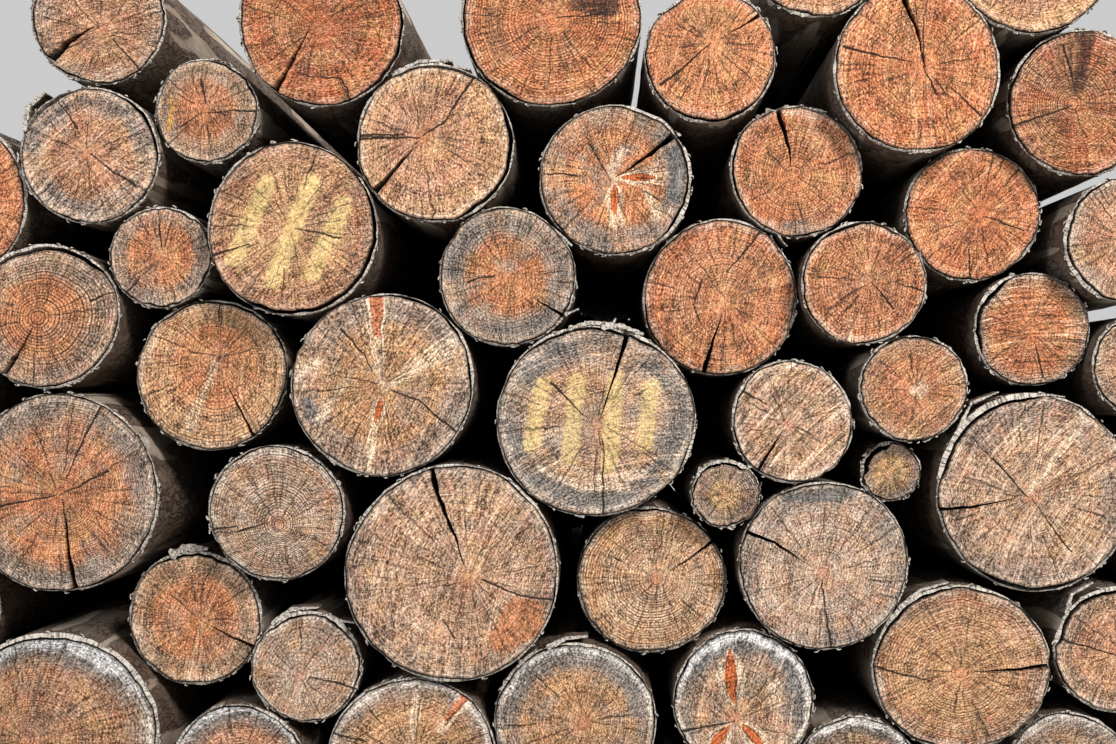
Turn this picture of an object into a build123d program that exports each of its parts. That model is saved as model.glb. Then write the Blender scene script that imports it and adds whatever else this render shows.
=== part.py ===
from build123d import *
from collections import namedtuple
from math import atan2, cos, hypot, pi, radians, sin, sqrt
import os

# A stack of sawn logs. The logs lie along Y with their photographed sawn ends towards -Y,
# X runs along the front of the stack and Z is up from level ground. Sizes are in millimetres.

TRUNK_THICKNESS = 300  # of a middling trunk; the stack's width and height grow with it
LOG_LENGTH = 3000
SEAT_GAP = 0.3  # clearance where one log rests on another
THIRD_LOBE = 0.008  # three-sided swelling of every trunk, as a share of its radius

FLATS = 48  # narrow flats around a trunk, each within half a millimetre of its true round
CONTACT_ROUNDS = 12  # refinements of the place where two outlines touch
PLACE_TOLERANCE = 0.03
NEAR_BY = 1.2  # logs can only touch within this share of their widest radii together
NEAR_GROUND = 1.3  # a log is tried on the ground if it is wanted within this share of that height

SPLIT_OVERRUN = 1.12  # a drying split is cut past the rim by this factor
SPLIT_START = 2  # the cut begins this far in front of the sawn face
SPLIT_CLOSING = 0.2  # width left at the bottom of a split, as a share of its mouth
SPLIT_ROOT = 0.15  # width of a split near the pith, as a share of its width at the rim

# The tables of logs and splits are written for a middling trunk 300 thick.
GROWTH = TRUNK_THICKNESS / 300

# Every log has the place where its centre is wanted, seen from the front (across, height),
# its radius at the front and at the back, how far its sawn face is set back,
# and how oval it is, with the direction of its wider way in degrees.
Log = namedtuple("Log", "name across height front back set_back oval turn")

LOGS = [
    # bottom course, on the ground
    Log("log_01", -1870, 198, 186, 190, 60, 0.015, 20),
    Log("log_02", -1444, 198, 200, 196, 20, 0.012, 160),
    Log("log_03", -1008, 210, 210, 218, 25, 0.015, 10),
    Log("log_04", -640, 140, 138, 140, 40, 0.010, 0),
    Log("log_05", -290, 166, 168, 146, 30, 0.015, 170),
    Log("log_06", 236, 70, 72, 88, 120, 0.000, 0),
    Log("log_07", 598, 132, 128, 120, 35, 0.010, 15),
    Log("log_08", 1024, 128, 124, 140, 45, 0.012, 0),
    Log("log_09", 1330, 164, 172, 164, 30, 0.015, 100),
    Log("log_10", 1706, 180, 174, 170, 70, 0.010, 30),
    # second course, in the hollows of the first
    Log("log_11", 28, 220, 162, 166, 30, 0.012, 5),
    Log("log_12", -502, 348, 114, 92, 45, 0.010, 60),
    Log("log_13", -750, 422, 138, 130, 95, 0.012, 120),
    Log("log_14", 372, 290, 144, 148, 40, 0.010, 90),
    Log("log_15", 810, 356, 174, 164, 30, 0.040, 0),
    Log("log_16", 1120, 374, 128, 126, 35, 0.010, 45),
    Log("log_17", 1490, 464, 182, 178, 50, 0.012, 15),
    Log("log_18", -1256, 460, 126, 130, 80, 0.010, 75),
    Log("log_19", -1666, 470, 146, 142, 35, 0.015, 0),
    # the middle of the stack
    Log("log_20", -214, 538, 216, 218, 10, 0.010, 70),
    Log("log_21", 182, 500, 152, 154, 80, 0.012, 0),
    Log("log_22", 536, 550, 170, 158, 20, 0.010, 30),
    Log("log_23", 1232, 574, 104, 96, 60, 0.000, 0),
    Log("log_24", 944, 702, 200, 222, 45, 0.010, 120),
    Log("log_25", -964, 690, 198, 224, 15, 0.012, 100),
    Log("log_26", -576, 654, 138, 156, 35, 0.012, 150),
    Log("log_27", 326, 698, 71, 77, 30, 0.010, 0),
    Log("log_28", 674, 738, 63, 63, 85, 0.010, 0),
    Log("log_29", 68, 830, 196, 188, 10, 0.022, 0),
    Log("log_30", -342, 904, 184, 178, 20, 0.012, 45),
    Log("log_31", 468, 836, 124, 120, 30, 0.012, 120),
    Log("log_32", 714, 910, 110, 98, 40, 0.012, 20),
    Log("log_33", -688, 918, 154, 152, 65, 0.010, 35),
    Log("log_34", -1440, 596, 116, 120, 45, 0.010, 0),
    Log("log_35", -1368, 912, 216, 220, 30, 0.015, 110),
    Log("log_36", 1396, 796, 172, 168, 25, 0.012, 60),
    Log("log_37", 1164, 952, 104, 112, 30, 0.010, 0),
    Log("log_38", -1014, 1042, 148, 126, 25, 0.012, 20),
    Log("log_39", 952, 1028, 118, 106, 75, 0.010, 0),
    Log("log_40", 320, 1080, 160, 162, 90, 0.012, 75),
    Log("log_41", 594, 1094, 126, 122, 35, 0.010, 0),
    Log("log_42", -90, 1120, 140, 126, 30, 0.012, 100),
    Log("log_43", -804, 1178, 104, 86, 40, 0.015, 30),
    # the upper courses
    Log("log_44", -530, 1202, 172, 178, 0, 0.012, 100),
    Log("log_45", 1138, 1218, 128, 142, 20, 0.010, 0),
    Log("log_46", 832, 1270, 140, 152, 110, 0.012, 10),
    Log("log_47", -1236, 1304, 164, 158, 45, 0.012, 80),
    Log("log_48", 118, 1312, 154, 154, 35, 0.010, 170),
    Log("log_49", 464, 1352, 136, 128, 80, 0.012, 140),
    Log("log_50", -940, 1382, 140, 122, 25, 0.015, 175),
    Log("log_51", -248, 1384, 160, 144, 20, 0.010, 100),
    Log("log_52", -692, 1470, 106, 122, 45, 0.010, 120),
    Log("log_53", 1068, 1496, 150, 150, 60, 0.010, 60),
    Log("log_54", 726, 1536, 170, 154, 20, 0.010, 90),
    Log("log_55", 298, 1556, 134, 154, 30, 0.010, 45),
    Log("log_56", -16, 1636, 180, 170, 25, 0.012, 0),
    Log("log_57", -476, 1640, 166, 170, 20, 0.010, 150),
    Log("log_58", -920, 1656, 136, 158, 35, 0.012, 160),
    Log("log_59", 524, 1778, 144, 150, 30, 0.010, 0),
    Log("log_60", 980, 1794, 164, 150, 40, 0.012, 20),
]

# The large drying splits in the sawn faces. Each runs outwards from near the pith through
# these points, measured from the log's centre (across, up), and opens to its width at the rim.
Split = namedtuple("Split", "log width depth points")

SPLITS = [
    Split("log_13", 10, 90, [(16, -8), (78, -40), (120, -58)]),
    Split("log_15", 10, 90, [(12, -8), (118, -2), (168, 6)]),
    Split("log_20", 16, 160, [(20, 26), (10, 62), (-30, 158), (-40, 204)]),
    Split("log_21", 10, 90, [(36, 16), (126, 82)]),
    Split("log_22", 12, 110, [(-22, -4), (-98, 46), (-156, 68)]),
    Split("log_24", 10, 100, [(-34, -10), (-130, -30), (-198, -32)]),
    Split("log_25", 16, 150, [(4, -10), (16, -120), (28, -190)]),
    Split("log_29", 10, 100, [(6, -4), (30, 66), (60, 176)]),
    Split("log_31", 10, 80, [(-20, -18), (-68, -98)]),
    Split("log_33", 10, 90, [(30, -18), (80, -122)]),
    Split("log_38", 14, 110, [(-22, -20), (-80, -116)]),
    Split("log_40", 12, 110, [(4, -32), (-32, -142)]),
    Split("log_42", 10, 80, [(54, -44), (118, -80)]),
    Split("log_48", 16, 120, [(-2, 4), (60, 44), (114, 88)]),
    Split("log_49", 14, 110, [(-14, 46), (-34, 114)]),
    Split("log_51", 16, 130, [(-38, -10), (-64, -36), (-114, -96)]),
    Split("log_54", 18, 140, [(0, 76), (-34, 148)]),
    Split("log_55", 12, 100, [(34, 44), (72, 66), (108, 88)]),
    Split("log_57", 18, 150, [(-24, -14), (-92, -136)]),
    Split("log_58", 22, 140, [(-8, -18), (-94, -82)]),
]


def grown_log(log):
    """A log of the table at the stack's own size."""
    lengths = {name: getattr(log, name) * GROWTH for name in Log._fields[1:6]}
    return log._replace(**lengths)


def grown_split(split):
    """A split of the table at the stack's own size."""
    points = [(across * GROWTH, up * GROWTH) for across, up in split.points]
    return Split(split.log, split.width * GROWTH, split.depth * GROWTH, points)


def reach(log, angle):
    """How far the outline reaches in a direction, for a radius of one."""
    turned = angle - radians(log.turn)
    return 1 + log.oval * cos(2 * turned) + THIRD_LOBE * cos(3 * turned)


def reach_slope(log, angle):
    """How fast the reach changes as the direction turns."""
    turned = angle - radians(log.turn)
    return -2 * log.oval * sin(2 * turned) - 3 * THIRD_LOBE * sin(3 * turned)


def outline(log, radius):
    """Points around the log's section, measured from its centre."""
    points = []
    for step in range(FLATS):
        angle = 2 * pi * step / FLATS
        out = radius * reach(log, angle)
        along = radius * reach_slope(log, angle)
        points.append((out * cos(angle) - along * sin(angle), out * sin(angle) + along * cos(angle)))
    return points


def radius_at(log, depth):
    """The taper of the log, which runs evenly from its front to its back."""
    return log.front + (log.back - log.front) * (depth - log.set_back) / LOG_LENGTH


def spacing(log, other, bearing):
    """Centre distance at which two logs lie a seat gap apart, the other in this direction."""
    front = max(log.set_back, other.set_back)
    back = min(log.set_back, other.set_back) + LOG_LENGTH
    widest = 0
    for depth in (front, back):
        facing = bearing
        for _ in range(CONTACT_ROUNDS):
            here, there = radius_at(log, depth), radius_at(other, depth)
            out = here * reach(log, facing) + there * reach(other, facing + pi)
            along = here * reach_slope(log, facing) + there * reach_slope(other, facing + pi)
            facing = bearing - atan2(along, out)
        widest = max(widest, hypot(out, along))
    return widest + SEAT_GAP


def spacing_between(log, place, other, spot):
    """The spacing of two logs that lie at these places."""
    return spacing(log, other, atan2(spot[1] - place[1], spot[0] - place[0]))


def ground_height(log):
    """Height of the log's centre when it lies on the ground."""
    return max(log.front, log.back) * reach(log, -pi / 2)


def beside(neighbour, side, height, distance):
    """The place at this height and distance from a neighbour, or None if it is out of reach."""
    rise = height - neighbour[1]
    if abs(rise) > distance:
        return None
    return neighbour[0] + side * sqrt(distance**2 - rise**2), height


def above(first, second, near, far):
    """The upper place at these two distances from two neighbours, or None."""
    across, up = second[0] - first[0], second[1] - first[1]
    apart = hypot(across, up)
    if apart == 0 or apart > near + far or apart < abs(near - far):
        return None
    along = (near**2 - far**2 + apart**2) / (2 * apart)
    out = sqrt(max(near**2 - along**2, 0))
    return (
        first[0] + (along * across - out * up) / apart,
        first[1] + (along * up + out * across) / apart,
    )


def on_ground(log, neighbour=None, spot=None, side=1):
    """The log's place on the ground: where it is wanted, or against a neighbour."""
    height = ground_height(log)
    if neighbour is None:
        return log.across, height
    place = beside(spot, side, height, log.front + neighbour.front)
    for _ in range(CONTACT_ROUNDS):
        if place is None:
            return None
        place = beside(spot, side, height, spacing_between(log, place, neighbour, spot))
    return place


def in_hollow(log, first, second):
    """The log's place on two neighbours, the first of them to its left, or None."""
    place = above(first[1], second[1], log.front + first[0].front, log.front + second[0].front)
    for _ in range(CONTACT_ROUNDS):
        if place is None:
            return None
        near = spacing_between(log, place, *first)
        far = spacing_between(log, place, *second)
        place = above(first[1], second[1], near, far)
    return place


def is_held(place, first, second):
    """Whether a log's weight comes down between its two supports."""
    left = (first[0] - place[0], first[1] - place[1])
    right = (second[0] - place[0], second[1] - place[1])
    return left[0] < 0 < right[0] and left[0] * right[1] - left[1] * right[0] > 0


def is_clear(log, place, laid, supports):
    """Whether the log has room among the logs laid so far and above the ground."""
    if place[1] < ground_height(log) - PLACE_TOLERANCE:
        return False
    for other, spot in laid:
        apart = hypot(spot[0] - place[0], spot[1] - place[1])
        widest = max(log.front, log.back) + max(other.front, other.back)
        if other in supports or apart > NEAR_BY * widest:
            continue
        if apart < spacing_between(log, place, other, spot) - PLACE_TOLERANCE:
            return False
    return True


def resting_places(log, laid):
    """Each rough place for the log, with its distance from the wanted one and its supports."""
    wanted = (log.across, log.height)
    if log.height < NEAR_GROUND * ground_height(log):
        yield abs(log.height - ground_height(log)), None, None, 1
        for other, spot in laid:
            for side in (-1, 1):
                place = beside(spot, side, ground_height(log), log.front + other.front)
                if place:
                    yield hypot(place[0] - wanted[0], place[1] - wanted[1]), (other, spot), None, side
    for first in laid:
        for second in laid:
            near, far = log.front + first[0].front, log.front + second[0].front
            place = above(first[1], second[1], near, far) if first is not second else None
            if place:
                yield hypot(place[0] - wanted[0], place[1] - wanted[1]), first, second, 1


def lay(log, laid):
    """The nearest place to the wanted one where the log rests and touches nothing else."""
    for _, first, second, side in sorted(resting_places(log, laid), key=lambda found: found[0]):
        if second:
            place = in_hollow(log, first, second)
            if place and not is_held(place, first[1], second[1]):
                continue
        elif first:
            place = on_ground(log, *first, side)
        else:
            place = on_ground(log)
        supports = [support[0] for support in (first, second) if support]
        if place and is_clear(log, place, laid, supports):
            return place
    return None


def section_plane(place, depth):
    """The upright plane across a log at this depth, centred on the log."""
    return Plane(origin=(place[0], depth, place[1]), x_dir=(1, 0, 0), z_dir=(0, -1, 0))


def sliver(points, mouth):
    """The outline of a split that widens evenly along its points to its mouth."""
    count = len(points) - 1
    first, last = points[0], points[-1]
    length = hypot(last[0] - first[0], last[1] - first[1])
    square = ((first[1] - last[1]) / length, (last[0] - first[0]) / length)
    one_side, other_side = [], []
    for step, (across, up) in enumerate(points):
        half = mouth / 2 * (SPLIT_ROOT + (1 - SPLIT_ROOT) * step / count)
        one_side.append((across + half * square[0], up + half * square[1]))
        other_side.append((across - half * square[0], up - half * square[1]))
    return one_side + other_side[::-1]


def cut_split(split, place, face):
    """Cut a drying split that narrows with depth into the sawn face of the open part."""
    across, up = split.points[-1]
    points = split.points[:-1] + [(across * SPLIT_OVERRUN, up * SPLIT_OVERRUN)]
    with BuildSketch(section_plane(place, face - SPLIT_START)) as mouth:
        with BuildLine():
            Polyline(*sliver(points, split.width), close=True)
        make_face()
    with BuildSketch(section_plane(place, face + split.depth)) as bottom:
        with BuildLine():
            Polyline(*sliver(points, split.width * SPLIT_CLOSING), close=True)
        make_face()
    loft(sections=[mouth.sketch, bottom.sketch], ruled=True, mode=Mode.SUBTRACT)


def lay_stack():
    """The logs with their places, laid one by one from the ground up."""
    laid = []
    for row in LOGS:
        log = grown_log(row)
        laid.append((log, lay(log, laid)))
    return laid


laid = lay_stack()

# The stack stands centred on the origin.
left = min(place[0] - max(log.front, log.back) * reach(log, pi) for log, place in laid)
right = max(place[0] + max(log.front, log.back) * reach(log, 0) for log, place in laid)
nearest = min(log.set_back for log, place in laid)
farthest = max(log.set_back for log, place in laid) + LOG_LENGTH
middle = (left + right) / 2
half_depth = (nearest + farthest) / 2

os.makedirs("parts", exist_ok=True)
for log, place in laid:
    centre = (place[0] - middle, place[1])
    face = log.set_back - half_depth
    with BuildPart() as trunk:
        for depth, radius in ((face, log.front), (face + LOG_LENGTH, log.back)):
            with BuildSketch(section_plane(centre, depth)):
                with BuildLine():
                    Polyline(*outline(log, radius), close=True)
                make_face()
        loft(ruled=True)
        for split in SPLITS:
            if split.log == log.name:
                cut_split(grown_split(split), centre, face)
    trunk.part.label = log.name
    export_step(trunk.part, f"parts/{log.name}.step")
    print(f"{log.name} {centre[0]:.0f} {centre[1]:.0f}")
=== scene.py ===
import random
from collections import namedtuple
from math import atan2, cos, pi, radians, sin

import bmesh
import bpy
import numpy as np
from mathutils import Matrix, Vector, noise


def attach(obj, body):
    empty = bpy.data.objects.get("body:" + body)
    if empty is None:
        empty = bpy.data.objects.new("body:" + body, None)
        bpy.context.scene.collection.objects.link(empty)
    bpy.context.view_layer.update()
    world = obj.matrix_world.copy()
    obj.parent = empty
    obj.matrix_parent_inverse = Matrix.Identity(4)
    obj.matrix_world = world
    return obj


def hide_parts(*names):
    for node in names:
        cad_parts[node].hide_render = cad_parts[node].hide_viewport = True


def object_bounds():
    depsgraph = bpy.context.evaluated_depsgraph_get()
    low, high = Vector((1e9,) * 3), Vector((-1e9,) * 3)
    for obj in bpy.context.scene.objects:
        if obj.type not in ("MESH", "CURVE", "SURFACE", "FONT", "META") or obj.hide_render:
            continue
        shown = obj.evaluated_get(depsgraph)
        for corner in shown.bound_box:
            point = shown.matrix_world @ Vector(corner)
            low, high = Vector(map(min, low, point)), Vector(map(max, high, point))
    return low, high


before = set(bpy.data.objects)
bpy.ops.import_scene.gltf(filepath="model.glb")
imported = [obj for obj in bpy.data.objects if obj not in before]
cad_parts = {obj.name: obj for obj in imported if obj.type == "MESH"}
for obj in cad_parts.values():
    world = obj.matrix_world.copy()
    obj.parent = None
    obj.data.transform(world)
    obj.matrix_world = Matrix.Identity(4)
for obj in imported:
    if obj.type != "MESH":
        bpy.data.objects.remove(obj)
cad_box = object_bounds()

# A stack of sawn logs. Every trunk gets a core of wood with sawn ends and a skin of bark,
# both fitted inside the solid that they replace. Sizes are in metres.

PIXEL = 0.002  # the photograph's scale at the sawn faces
PHOTO_WIDTH, PHOTO_HEIGHT = 1116, 744  # in pixels
ACROSS, UP = 0.0905, 0.940  # the middle of the photograph
WOOD_SECTORS, BARK_SECTORS = 96, 128
END_RINGS = (0.05, 0.12, 0.2, 0.3, 0.4, 0.5, 0.6, 0.7, 0.79, 0.87, 0.93, 0.97, 0.99, 1)
BACK_RINGS = (0.94, 0.8, 0.55, 0.3, 0.1)
CORE_DEPTHS = (0.006, 0.03, 0.08, 0.2)
SKIN_DEPTHS = (0.003, 0.008, 0.015, 0.025, 0.04, 0.06, 0.09, 0.13, 0.18, 0.25, 0.33, 0.42, 0.52, 0.64, 0.76)
# Depths with how far the bark's inner side closes on the wood, and how much of a split is left open.
LIP_DEPTHS = ((0.16, 1.0), (0.05, 0.3), (0.0, 0.0))
SPLIT_DEPTHS = ((-0.004, 1.0), (0.01, 0.92), (0.05, 0.65), (0.11, 0.3))
SPLIT_OVERRUN = 1.12  # a split is cut past the rim by this factor
RECESS = 0.0012  # from the solid's ends to the wood's
BEVEL = 0.0008  # on the edges of the sawn ends
UNEVEN = 0.0006  # relief of the wood's surface
BARK = 0.0052  # usual thickness
LIP = 0.007  # how far the bark's torn edge may lie behind the sawn face
SHRUNK = 0.0016  # usual gap between the dried wood and its bark
RING_WIDTH = 0.0056
HIDDEN = 0.0008  # how far surfaces that meet run into each other
INSIDE = 0.0004  # the least that the bark stays within the solid
STANDS_OFF = 0.016  # how far a torn strip of bark may stand off its log
CHIPS = 22  # small chips of torn bark round a sawn end

# Wood colours, from the heart of a trunk outwards.
AMBER = (0.53, 0.195, 0.075)
ORANGE = (0.46, 0.170, 0.070)
RUST = (0.37, 0.100, 0.034)
COPPER = (0.46, 0.140, 0.046)
RUSSET = (0.33, 0.082, 0.022)
TAN = (0.48, 0.265, 0.130)
PINK = (0.45, 0.225, 0.130)
FAWN = (0.45, 0.290, 0.190)
BLOND = (0.55, 0.36, 0.225)
MIST = (0.50, 0.365, 0.275)
BROWN = (0.31, 0.150, 0.078)
STRAW = (0.52, 0.33, 0.150)
GOLD = (0.50, 0.285, 0.110)
GREY = (0.32, 0.210, 0.145)
ASH = (0.28, 0.215, 0.170)
SLATE = (0.11, 0.115, 0.115)
CHALK = (0.58, 0.51, 0.43)
BLEACHED = (0.46, 0.455, 0.455)
PALE = (0.78, 0.57, 0.43)
# Painted shade: the near-black that stands for the shade inside cracks and splits.
CRACK_SHADE = (0.012, 0.008, 0.006)
KNOT = (0.55, 0.14, 0.045)
EMBER = (0.56, 0.12, 0.03)
CREAM = (0.80, 0.60, 0.42)
RESIN = (0.72, 0.36, 0.05)
SOOT = (0.02, 0.015, 0.012)
PAINT = (0.84, 0.62, 0.26)

# How each sawn end looks. Places are read in the photograph's pixels.
# heart and sap are colours, share is how much of the radius is heartwood, rings is how
# clear the growth rings are, saw is the direction and strength of the saw's streaks,
# stain is how much the sapwood has gone blue and rim how white its edge is.
# splits and cracks are a width and a path; marks are a colour, a width and a path;
# bark lists thicker or loose stretches: from and to in degrees, thickness and gap in mm.
# strips are torn pieces of bark that stand off the log, seen edge-on: a width and a path.
Look = namedtuple("Look", "centre pith heart sap share rings saw stain rim splits cracks marks bark strips",
                  defaults=((), (), (), (), ()))

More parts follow.
